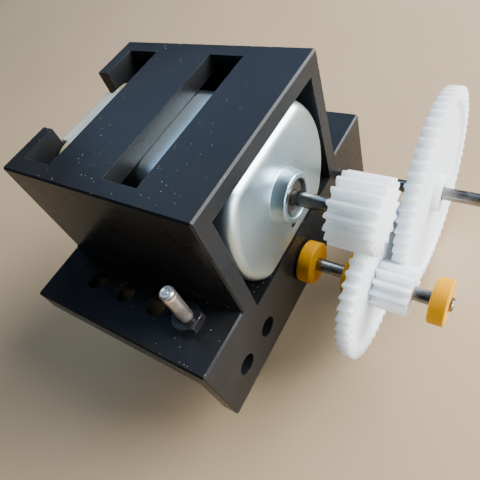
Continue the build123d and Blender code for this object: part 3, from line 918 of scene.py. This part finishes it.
@dataclass
class Motor:
    """The flat-sided can with its end cap, bearing and hidden insides, in millimetres."""

    assembly: Assembly
    radius: float = 12.1
    half_height: float = 9.15
    shoulder: float = 1.6
    shoulder_steps: int = 10
    wall: float = 0.9
    rim_break: float = 0.1
    boss_base: float = 3.8
    boss_tip: float = 3.5
    boss_height: float = 1.9
    boss_edge: float = 0.3
    boss_fillet: float = 0.12
    bore: float = 2.6
    bore_edge: float = 0.15
    bore_edge_depth: float = 0.12
    ring_radius: float = 4.55
    ring_half_width: float = 0.08
    ring_depth: float = 0.02
    ring_margin: float = 0.3
    dimple_radius: float = 0.6
    dimple_depth: float = 0.12
    dimple_offset: float = 6.0
    dimple_shift: float = 0.013  # keeps the cutter's edges off the can's own edges
    cutter_width: float = 1.44  # of its foot behind the face, so that the hole reads dark
    cutter_foot: tuple[float, float] = (1.3, 0.5)  # its ends, in walls behind the face
    cutter_clearance: float = 0.5
    cap_edge: float = 0.6
    cap_steps: int = 5
    nose_half_width: float = 6.1
    nose_edge: float = 0.4
    nose_length: float = 2.0
    nose_reach: float = 0.995  # the most of the cap's rear face that the nose covers
    shaft_hole: float = 1.2
    shaft_hole_mouth: float = 1.44
    shaft_hole_depth: float = 0.2  # over which the hole's mouth narrows
    bearing_bore: float = 1.05
    bearing_bore_edge: float = 0.1
    bearing_chamfer: float = 0.3
    bearing_round: float = 0.05
    points: int = 256

    def __post_init__(self) -> None:
        """Looks up the motor's axis and works out its outline."""
        self.centre = self.assembly.axis("motor_spin")
        self.outline = flat_sided(self.radius, self.half_height, self.points)

    def build(self) -> None:
        """Builds the can, the cap and the bearing, and dresses the insides."""
        self.assembly.stand_in(self._can(), "motor_can", ZINC_PLATE)
        cap = self._cap()
        # The cap's sides take the deeper yellow as painted shade; its middle band gets the pale
        # tone
        self.assembly.stand_in(cap, "motor_end_cap", SHADED_CAP_SIDES)
        self.assembly.second_finish(cap, PALE_NOSE, self.nose_half_width)
        self.assembly.stand_in(self._bearing(), "front_bearing", SINTERED_BRONZE)
        for node, finish in MOTOR_INSIDES.items():
            self.assembly.dress(node, finish)

    def _can(self) -> bpy.types.Object:
        """The can: outlines run from its rear rim over the face and boss, then back inside.

        Over the face each outline is a weighted mean of the flat-sided one and a circle.

        Returns:
            The can, with its dimple.
        """
        rear, tip = self.assembly.span("motor_can")
        face = tip - self.boss_height
        inner = flat_sided(self.radius - self.wall, self.half_height - self.wall, self.points)
        edge = inset(self.outline, self.shoulder)
        ring = circle(1.0, self.points)
        stack = Stack().add(self.outline, rear + self.rim_break)
        stack.add(self.outline, (rear + face) / 2)
        stack.edge(self.outline, face, self.shoulder, rising=False, forward=True,
                   steps=self.shoulder_steps)
        stack.add(inset(self.outline, self.shoulder + self.rim_break), face)
        inward = ring * (self.ring_radius + self.ring_margin)
        for share in FACE_SHARES:
            stack.add((1 - share) * edge + share * inward, face)
        for across, drop in SCORED_RING:
            radius = self.ring_radius + across * self.ring_half_width
            stack.add(ring * radius, face - drop * self.ring_depth)
        stack.add(ring * (self.boss_base + 1.5 * self.boss_fillet), face)
        for turn in np.linspace(0, math.pi / 2, 4):
            radius = self.boss_base + self.boss_fillet * (1 - math.sin(turn))
            stack.add(ring * radius, face + self.boss_fillet * (1 - math.cos(turn)))
        for turn in np.linspace(0, math.pi / 2, 5):
            radius = self.boss_tip - self.boss_edge * (1 - math.cos(turn))
            stack.add(ring * radius, tip - self.boss_edge * (1 - math.sin(turn)))
        stack.add(ring * (self.bore + self.bore_edge), tip)
        stack.add(ring * self.bore, tip - self.bore_edge_depth)
        stack.add(ring * self.bore, face - self.wall)
        stack.add(inner * 0.6, face - self.wall).add(inner, face - self.wall)
        stack.add(inner, rear).add(inset(self.outline, self.rim_break), rear)
        can = new_piece("can", [stack.surface(self.centre, closed=True)])
        return cut_away(can, self._dimple_cutter(face))

    def _dimple_cutter(self, face: float) -> bpy.types.Object:
        """The shape cut from the can: a pin through its face, with a wide foot inside.

        Args:
            face: Where the can's face lies along the shafts.

        Returns:
            The cutter.
        """
        behind, inside = (face - share * self.wall for share in self.cutter_foot)
        mouth, above = face - self.dimple_depth, face + self.cutter_clearance
        section = [
            (behind, 0), (behind, self.cutter_width), (inside, self.cutter_width),
            (mouth, self.dimple_radius), (above, self.dimple_radius), (above, 0),
        ]
        middle = (self.centre[0] + self.dimple_shift, self.centre[1] - self.dimple_offset)
        return turned("dimple_cutter", section, middle, solid=True, count=32)

    def _cap(self) -> bpy.types.Object:
        """The end cap with its nose: outlines run out from the shaft's hole and back to it.

        The nose is a rounded box, kept inside the edge of the cap's rear face.

        Returns:
            The end cap.
        """
        rear = self.assembly.span("motor_end_cap")[0]
        front = self.assembly.span("motor_can")[0]
        cap_rear = rear + self.nose_length
        nose = rounded_box(self.nose_half_width, self.half_height, self.points)
        hole = circle(self.shaft_hole, self.points)
        stack = Stack().add(hole, front)
        stack.add(self.outline, front).add(self.outline, (front + cap_rear) / 2)
        stack.edge(self.outline, cap_rear, self.cap_edge, rising=False, forward=False,
                   steps=self.cap_steps)
        limit = self.nose_reach * np.linalg.norm(inset(self.outline, self.cap_edge), axis=1)
        side = np.minimum(1.0, limit / np.linalg.norm(nose, axis=1))[:, None] * nose
        stack.add(side, cap_rear)
        stack.edge(side, rear, self.nose_edge, rising=False, forward=False,
                   steps=self.cap_steps)
        stack.add(circle(self.shaft_hole_mouth, self.points), rear)
        stack.add(hole, rear + self.shaft_hole_depth)
        return new_piece("end_cap", [stack.surface(self.centre, closed=True)])

    def _bearing(self) -> bpy.types.Object:
        """The bearing: a ring with a wide chamfer at its face.

        Returns:
            The bearing.
        """
        rear, face = self.assembly.span("front_bearing")
        section = [
            (rear, self.bearing_bore, 0.0), (rear, self.bore, 0.0),
            (face - self.bearing_chamfer, self.bore, 0.0),
            (face, self.bore - self.bearing_chamfer, self.bearing_round),
            (face, self.bearing_bore + self.bearing_bore_edge, self.bearing_round),
            (face - self.bearing_bore_edge, self.bearing_bore, 0.0),
        ]
        return turned("bearing", soft_profile(section, closed=True), self.centre, solid=False)


def cut_away(piece: bpy.types.Object, cutter: bpy.types.Object) -> bpy.types.Object:
    """Cuts one closed piece out of another and removes the cutter.

    Args:
        piece: The piece that is cut.
        cutter: The piece whose space is taken away.

    Returns:
        The cut piece.
    """
    change = piece.modifiers.new("cut", "BOOLEAN")
    change.operation = "DIFFERENCE"
    change.solver = "EXACT"
    change.object = cutter
    bpy.context.view_layer.update()
    finished = piece.evaluated_get(bpy.context.evaluated_depsgraph_get())
    shape = bpy.data.meshes.new_from_object(finished)
    piece.modifiers.clear()
    piece.data = shape
    piece.data.set_sharp_from_angle(angle=SMOOTH_ANGLE)
    bpy.data.objects.remove(cutter)
    return piece


# ----------------------------------------------------------------------- gears
@dataclass(frozen=True)
class SpurTeeth:
    """The toothed outline of a spur gear with involute flanks.

    Angles are in degrees and lengths in millimetres. The root's depth is in modules.
    """

    count: int
    first_angle: float
    module: float = 0.5
    pressure_angle: float = 20.0
    thinning: float = 0.05
    root_depth: float = 1.25
    root_spread: float = 1.05  # how much wider a tooth is at its root than at the base
    flank_points: int = 6
    softening: int = 1

    def outline(self) -> Outline:
        """Works the outline out for all teeth at once.

        On a flank the angle from the tooth's middle is the half tooth at the base
        circle minus the involute's turn, sqrt(q^2 - 1) - acos(1 / q) with q the
        radius over the base radius. The corners are then cut to soften them.

        Returns:
            The outline's points, tooth after tooth.
        """
        pitch = self.module * self.count / 2
        base = pitch * math.cos(math.radians(self.pressure_angle))
        tip, root = pitch + self.module, pitch - self.root_depth * self.module
        half = math.pi / (2 * self.count) - self.thinning / (2 * pitch)

        def turn(radius: np.ndarray) -> np.ndarray:
            """How far the involute has turned at each radius."""
            ratio = np.maximum(radius / base, 1.0)
            return np.sqrt(ratio**2 - 1) - np.arccos(1 / ratio)

        flank = np.linspace(max(base, root), tip, self.flank_points)
        angle = half + turn(np.array([pitch])) - turn(flank)
        radius = np.concatenate([[root], flank, flank[::-1], [root]])
        foot = angle[0] * self.root_spread
        offset = np.concatenate([[-foot], -angle, angle[::-1], [foot]])
        middle = math.radians(self.first_angle) + np.arange(self.count) * 2 * math.pi / self.count
        along = (middle[:, None] + offset[None, :]).ravel()
        distance = np.tile(radius, self.count)
        shape = distance[:, None] * np.stack([np.cos(along), np.sin(along)], axis=1)
        return cut_corners(shape, self.softening)


def on_circle(outline: Outline, radius: float) -> Outline:
    """Moves each point of an outline straight in or out onto a circle."""
    return outline / np.linalg.norm(outline, axis=1, keepdims=True) * radius


# A recess's edge: steps in from its radius, and shares of its depth
RECESS_EDGE = ((0, 0), (0.06, 0.08), (0.16, 0.4), (0.3, 0.85), (0.45, 1), (0.6, 1))


@dataclass(frozen=True)
class Wheel:
    """One toothed body, with what its faces carry, in millimetres.

    A hub stands out of one face, given by its radius and by where its own face lies.
    A recess is sunk into the face at the end, given by its radius and depth.
    """

    teeth: SpurTeeth
    start: float
    end: float
    bore: float
    hub: tuple[float, float] | None = None
    recess: tuple[float, float] | None = None
    hub_edge: float = 0.15
    rim: float = 0.13
    rim_steps: int = 3
    floor_margin: float = 0.25

    def shell(self, centre: tuple[float, float]) -> Shell:
        """The closed surface, from the bore out over the teeth and back to the bore.

        Args:
            centre: Y and Z of the wheel's axis.

        Returns:
            Points in metres and quads.
        """
        outline = self.teeth.outline()
        hub_at_start = self.hub is not None and self.hub[1] < self.start
        hub_at_end = self.hub is not None and self.hub[1] > self.end
        stack = Stack()
        for radius, x in self._middle(self.start, hub_at_start, -1):
            stack.add(on_circle(outline, radius), x)
        stack.edge(outline, self.start, self.rim, rising=True, forward=False,
                   steps=self.rim_steps)
        stack.edge(outline, self.end, self.rim, rising=False, forward=True,
                   steps=self.rim_steps)
        floor = self.end
        if self.recess is not None:
            outer, depth = self.recess
            inner = self.hub[0] if hub_at_end else self.bore
            floor = self.end - depth
            for step, share in RECESS_EDGE:
                stack.add(on_circle(outline, outer - step), self.end - share * depth)
            stack.add(on_circle(outline, (outer + inner) / 2), floor)
            stack.add(on_circle(outline, inner + self.floor_margin), floor)
        for radius, x in reversed(self._middle(floor, hub_at_end, 1)):
            stack.add(on_circle(outline, radius), x)
        return stack.surface(centre, closed=self.bore > 0)

    def _middle(self, face: float, with_hub: bool, sign: int) -> list[tuple[float, float]]:
        """The section of a face's middle, from the bore outwards.

        Args:
            face: Where the face lies along the shafts.
            with_hub: Whether the hub stands on it.
            sign: 1 for a face that looks along +X, -1 for the other.

        Returns:
            Pairs of radius and place along the shafts.
        """
        if not with_hub:
            return [(self.bore, face)]
        radius, top = self.hub
        turns = np.linspace(math.pi / 2, 0, self.rim_steps + 1)
        edge = [(radius - self.hub_edge * (1 - math.cos(turn)),
                 top - sign * self.hub_edge * (1 - math.sin(turn))) for turn in turns]
        return [(self.bore, top), *edge, (radius, face)]


@dataclass
class GearTrain:
    """The three moulded gears, the bushes and the shafts that carry them, in millimetres."""

    assembly: Assembly
    shaft_radius: float = 1.0
    shaft_break: float = 0.2
    bush_radius: float = 3.3
    bush_edge: float = 0.28
    hub_radius: float = 2.5
    output_hub_radius: float = 3.0
    wheel_width: float = 2.0
    lay_pinion_width: float = 4.7
    output_hub_height: float = 0.5
    seat_radius: float = 1.2
    wheel_recess: float = 9.3
    output_recess: float = 13.7
    recess_depth: float = 0.5
    pinion_skin: float = 0.25
    shaft_points: int = 64
    pinion_teeth: SpurTeeth = SpurTeeth(17, -90.0)
    wheel_teeth: SpurTeeth = SpurTeeth(44, 90.0 + 180.0 / 44)
    lay_pinion_teeth: SpurTeeth = SpurTeeth(12, 0.0)
    output_teeth: SpurTeeth = SpurTeeth(62, 180.0 + 180.0 / 62)

    def __post_init__(self) -> None:
        """Looks up the three axes."""
        self.motor_axis, self.lay_axis, self.output_axis = (
            self.assembly.axis(joint) for joint in ("motor_spin", "lay_spin", "output_spin"))

    def build(self) -> None:
        """Builds the gears, bushes and shafts."""
        self.assembly.stand_in(self._motor_pinion(), "motor_pinion", WHITE_NYLON)
        self.assembly.stand_in(self._compound_gear(), "compound_gear", WHITE_NYLON)
        self.assembly.stand_in(self._output_gear(), "output_gear", WHITE_NYLON)
        for node in ("inner_bush", "middle_bush", "outer_bush"):
            self.assembly.stand_in(self._bush(node), node, YELLOW_NYLON)
        ends = {
            "motor_shaft": (self.motor_axis,
                            self.assembly.span("motor_pinion")[1] - self.pinion_skin),
            "lay_shaft": (self.lay_axis, self.assembly.span("lay_shaft")[1]),
        }
        for node, (axis, end) in ends.items():
            self.assembly.stand_in(self._shaft(node, axis, end), node, GROUND_STEEL)
        self.assembly.stand_in(self._output_shaft(), "output_shaft", GROUND_STEEL)

    def _motor_pinion(self) -> bpy.types.Object:
        """The long pinion on the motor's shaft, closed over the shaft's end."""
        wheel = Wheel(self.pinion_teeth, *self.assembly.span("motor_pinion"), bore=0.0)
        return new_piece("pinion", [wheel.shell(self.motor_axis)])

    def _compound_gear(self) -> bpy.types.Object:
        """The wheel with a low hub on one side and the small pinion on the other.

        Returns:
            Both in one piece. The pinion starts inside the wheel, so that they join.
        """
        start, end = self.assembly.span("compound_gear")
        wheel_end = end - self.lay_pinion_width
        wheel_start = wheel_end - self.wheel_width
        wheel = Wheel(self.wheel_teeth, wheel_start, wheel_end, self.shaft_radius,
                      hub=(self.hub_radius, start), recess=(self.wheel_recess, self.recess_depth))
        pinion = Wheel(self.lay_pinion_teeth, wheel_end - self.wheel_width / 2, end,
                       self.shaft_radius)
        return new_piece("double_gear", [wheel.shell(self.lay_axis), pinion.shell(self.lay_axis)])

    def _output_gear(self) -> bpy.types.Object:
        """The large wheel on the output shaft.

        Returns:
            The wheel, with a low hub and a recess in its outer face.
        """
        start, end = self.assembly.span("output_gear")
        wheel = Wheel(self.output_teeth, start, end - self.output_hub_height, self.seat_radius,
                      hub=(self.output_hub_radius, end),
                      recess=(self.output_recess, self.recess_depth))
        return new_piece("large_gear", [wheel.shell(self.output_axis)])

    def _bush(self, node: str) -> bpy.types.Object:
        """A moulded bush with rounded rims.

        Args:
            node: The CAD node that it stands for.

        Returns:
            The bush.
        """
        start, end = self.assembly.span(node)
        section = [(start, self.shaft_radius, 0.0), (start, self.bush_radius, self.bush_edge),
                   (end, self.bush_radius, self.bush_edge), (end, self.shaft_radius, 0.0)]
        name = node.replace("bush", "collar")
        return turned(name, soft_profile(section, closed=True), self.lay_axis, solid=False)

    def _shaft(self, node: str, axis: tuple[float, float], end: float) -> bpy.types.Object:
        """A plain shaft with its ends broken.

        Args:
            node: The CAD node that it stands for.
            axis: Y and Z of its axis.
            end: Where it ends along the shafts.

        Returns:
            The shaft.
        """
        section = self._shaft_section(self.assembly.span(node)[0], end)
        name = node.replace("shaft", "spindle")
        return turned(name, section, axis, solid=True, count=self.shaft_points)

    def _shaft_section(self, start: float, end: float) -> list[tuple[float, float]]:
        """A shaft's section, from one end on the axis to the other."""
        radius, cut = self.shaft_radius, self.shaft_break
        return [(start, 0), (start, radius - cut), (start + cut, radius),
                (end - cut, radius), (end, radius - cut), (end, 0)]

    def _output_shaft(self) -> bpy.types.Object:
        """The long shaft, with its wider seat inside the large gear.

        Returns:
            The shaft.
        """
        section = self._shaft_section(*self.assembly.span("output_shaft"))
        seat_start, seat_end = self.assembly.span("output_gear")
        seat = [(seat_start, self.shaft_radius), (seat_start, self.seat_radius),
                (seat_end, self.seat_radius), (seat_end, self.shaft_radius)]
        return turned("output_spindle", section[:3] + seat + section[3:], self.output_axis,
                      solid=True, count=self.shaft_points)


# ------------------------------------------------------------------- fastening
# The mark in the screw's tip: radius and depth, from its outside to the middle
TIP_MARK = ((0.6, 0), (0.52, 0.14), (0.38, 0.14), (0.3, 0.02), (0, 0.02))


@dataclass
class Fastening:
    """The screw and nut on the near flange, in millimetres."""

    assembly: Assembly
    shank: float = 1.0
    tip_break: float = 0.2
    head: float = 1.85
    head_height: float = 0.85
    thread_pitch: float = 0.4
    thread_depth: float = 0.012
    thread_rings: int = 6
    thread_margin: float = 0.05
    neck: float = 0.93
    neck_depth: float = 0.85
    neck_width: float = 0.1
    nut_apothem: float = 2.0
    nut_chamfer: float = 0.3
    nut_bore_chamfer: float = 0.2
    points: int = 96

    def __post_init__(self) -> None:
        """Looks up the screw's ends and works out its axis."""
        low, high = (np.array(corner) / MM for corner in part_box("fixing_screw"))
        self.middle = (low[:2] + high[:2]) / 2
        self.low, self.high = low[2], high[2]

    def build(self) -> None:
        """Builds the screw and the nut."""
        self.assembly.stand_in(self._screw(), "fixing_screw", NICKEL_PLATE)
        self.assembly.stand_in(self._nut(), "fixing_nut", BLACK_STEEL)

    def _upright(self, name: str, rings: Sequence[tuple[np.ndarray, object]],
                 closed: bool) -> bpy.types.Object:
        """Joins rings that lie round an upright axis.

        Args:
            name: The piece's name.
            rings: Outlines, each with its height or with the height of each point.
            closed: Whether the last ring joins the first.

        Returns:
            The new piece.
        """
        level = np.ones(self.points)
        grid = np.stack([np.column_stack([outline + self.middle, level * height])
                         for outline, height in rings])
        rows, columns = grid.shape[:2]
        return new_piece(name, [(grid.reshape(-1, 3) * MM, quads(rows, columns, closed, True))])

    def _screw(self) -> bpy.types.Object:
        """The screw: a worn thread is a sine wave that climbs one pitch in a turn.

        The shank's radius at height h and angle a is the shank minus the thread's
        depth times (1 - cos(2 pi h / pitch - a)) / 2, faded in at both ends.

        Returns:
            The screw, from its head up to the mark in its tip.
        """
        unit = circle(1.0, self.points)
        angle = np.linspace(0, 2 * math.pi, self.points, endpoint=False)
        start, neck = self.low + self.head_height, self.high - self.neck_depth
        rings = [(unit * 0, self.low), (unit * self.head, self.low), (unit * self.shank, start)]
        heights = np.arange(start + self.thread_margin, neck - self.neck_width,
                            self.thread_pitch / self.thread_rings)
        for height in heights:
            fade = min(1.0, (neck - height) / self.thread_pitch,
                       (height - start) / self.thread_pitch)
            wave = (1 - np.cos(2 * math.pi * height / self.thread_pitch - angle)) / 2
            radius = self.shank - self.thread_depth * fade * wave
            rings.append((unit * radius[:, None], height))
        for step, radius in enumerate((self.shank, self.neck, self.neck, self.shank)):
            rings.append((unit * radius, neck + (step - 0.5) * self.neck_width))
        tip = [(self.shank, self.tip_break), (self.shank - self.tip_break, 0), *TIP_MARK]
        rings += [(unit * radius, self.high - depth) for radius, depth in tip]
        return self._upright("machine_screw", rings, closed=False)

    def _nut(self) -> bpy.types.Object:
        """The nut: a hexagon whose rims are turned to a cone.

        The hexagon's radius at angle a is the apothem over cos(a folded to 30 degrees).
        The cone lowers each point by how far it lies beyond the cone's edge.

        Returns:
            The nut.
        """
        low, high = (corner.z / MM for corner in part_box("fixing_nut"))
        angle = np.linspace(0, 2 * math.pi, self.points, endpoint=False)
        folded = (angle + math.pi / 6) % (math.pi / 3) - math.pi / 6
        reach = self.nut_apothem / np.cos(folded)
        turned_edge = self.nut_apothem / math.cos(math.pi / 6) - self.nut_chamfer
        drop = np.maximum(reach - turned_edge, 0)
        unit = circle(1.0, self.points)
        bore, mouth = unit * self.shank, unit * (self.shank + self.nut_bore_chamfer)
        side, edge = unit * reach[:, None], unit * np.minimum(reach, turned_edge)[:, None]
        rings = [
            (bore, low + self.nut_bore_chamfer), (mouth, low), (edge, low), (side, low + drop),
            (side, high - drop), (edge, high), (mouth, high), (bore, high - self.nut_bore_chamfer),
        ]
        return self._upright("hex_nut", rings, closed=True)


# ---------------------------------------------------------------------- studio
@dataclass(frozen=True)
class SoftBox:
    """One area light: where it stands and points and its size in metres, its power in watts."""

    name: str
    place: tuple[float, float, float]
    target: tuple[float, float, float]
    width: float
    height: float
    power: float
    colour: Colour

    def switch_on(self) -> None:
        """Adds the light to the scene."""
        light = bpy.data.lights.new(self.name, "AREA")
        light.shape = "RECTANGLE"
        light.size, light.size_y = self.width, self.height
        light.energy = self.power
        light.color = self.colour
        lamp = bpy.data.objects.new(self.name, light)
        lamp.location = self.place
        aim = Vector(self.target) - Vector(self.place)
        lamp.rotation_euler = aim.to_track_quat("-Z", "Y").to_euler()
        bpy.context.scene.collection.objects.link(lamp)


@dataclass
class Studio:
    """The floor, the soft lights and the camera.

    The eye is in millimetres and the roll in degrees. Other lengths are in metres,
    except the camera's lens and sensor, which are in millimetres.
    """

    assembly: Assembly
    floor_size: float = 1.2
    floor_gap: float = 0.0002
    sky: Colour = (0.70, 0.84, 1.0)
    sky_strength: float = 0.07
    eye: tuple[float, float, float] = (42.95, -31.15, 53.20)
    look: tuple[float, float, float] = (-0.5073, 0.4109, -0.7575)
    roll: float = 26.1
    lens: float = 33.11
    sensor: float = 36.0
    clip_start: float = 0.001
    boxes: tuple[SoftBox, ...] = (
        SoftBox("window", place=(0.31, 0.25, 0.20), target=(0.02, 0.0, 0.0),
                width=0.36, height=0.36, power=8.2, colour=(0.96, 0.98, 1.0)),
        SoftBox("sky", place=(-0.20, 0.22, 0.36), target=(0.0, 0.0, 0.0),
                width=0.36, height=0.36, power=0.9, colour=(0.38, 0.62, 1.0)),
        SoftBox("front_fill", place=(0.42, -0.08, 0.07), target=(0.02, 0.0, 0.0),
                width=0.30, height=0.20, power=1.8, colour=(0.80, 0.91, 1.0)),
    )

    def build(self) -> None:
        """Sets up the floor, the lights and the camera."""
        self._floor()
        for box in self.boxes:
            box.switch_on()
        world = bpy.data.worlds.new("studio_air")
        world.use_nodes = True
        background = world.node_tree.nodes["Background"]
        background.inputs["Color"].default_value = (*self.sky, 1)
        background.inputs["Strength"].default_value = self.sky_strength
        bpy.context.scene.world = world
        self._camera()

    def _floor(self) -> None:
        """Lays a plain pale floor just under the object's lowest point."""
        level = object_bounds()[0][2] - self.floor_gap
        reach = self.floor_size / 2
        corners = [(-reach, -reach, level), (reach, -reach, level),
                   (reach, reach, level), (-reach, reach, level)]
        mesh = bpy.data.meshes.new("floor")
        mesh.from_pydata(corners, [], [(0, 1, 2, 3)])
        floor = bpy.data.objects.new("floor", mesh)
        bpy.context.scene.collection.objects.link(floor)
        mesh.materials.append(self.assembly.material(STUDIO_FLOOR))
        floor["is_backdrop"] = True

    def _camera(self) -> None:
        """Sets the camera: its up is the level up, turned about the line of sight by the roll."""
        camera = bpy.data.cameras.new("camera")
        camera.lens = self.lens
        camera.sensor_width = self.sensor
        camera.clip_start = self.clip_start
        forward = Vector(self.look).normalized()
        level_right = forward.cross(Vector((0, 0, 1))).normalized()
        level_up = level_right.cross(forward)
        turn = math.radians(self.roll)
        up = level_up * math.cos(turn) + level_right * math.sin(turn)
        right = forward.cross(up)
        facing = Matrix((right, up, -forward)).transposed().to_quaternion()
        eye = bpy.data.objects.new("camera", camera)
        eye.matrix_world = Matrix.LocRotScale(Vector(self.eye) * MM, facing, None)
        bpy.context.scene.collection.objects.link(eye)
        bpy.context.scene.camera = eye


def main() -> None:
    """Builds the sub-assemblies in order."""
    logging.basicConfig(level=logging.INFO, format="%(name)s: %(message)s")
    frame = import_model()
    assembly = Assembly(frame)
    assembly.dress("motor_bracket", BLACK_PLASTIC)
    Motor(assembly).build()
    GearTrain(assembly).build()
    Fastening(assembly).build()
    Studio(assembly).build()
    log.info("sizes written")


if __name__ == "__main__":
    main()
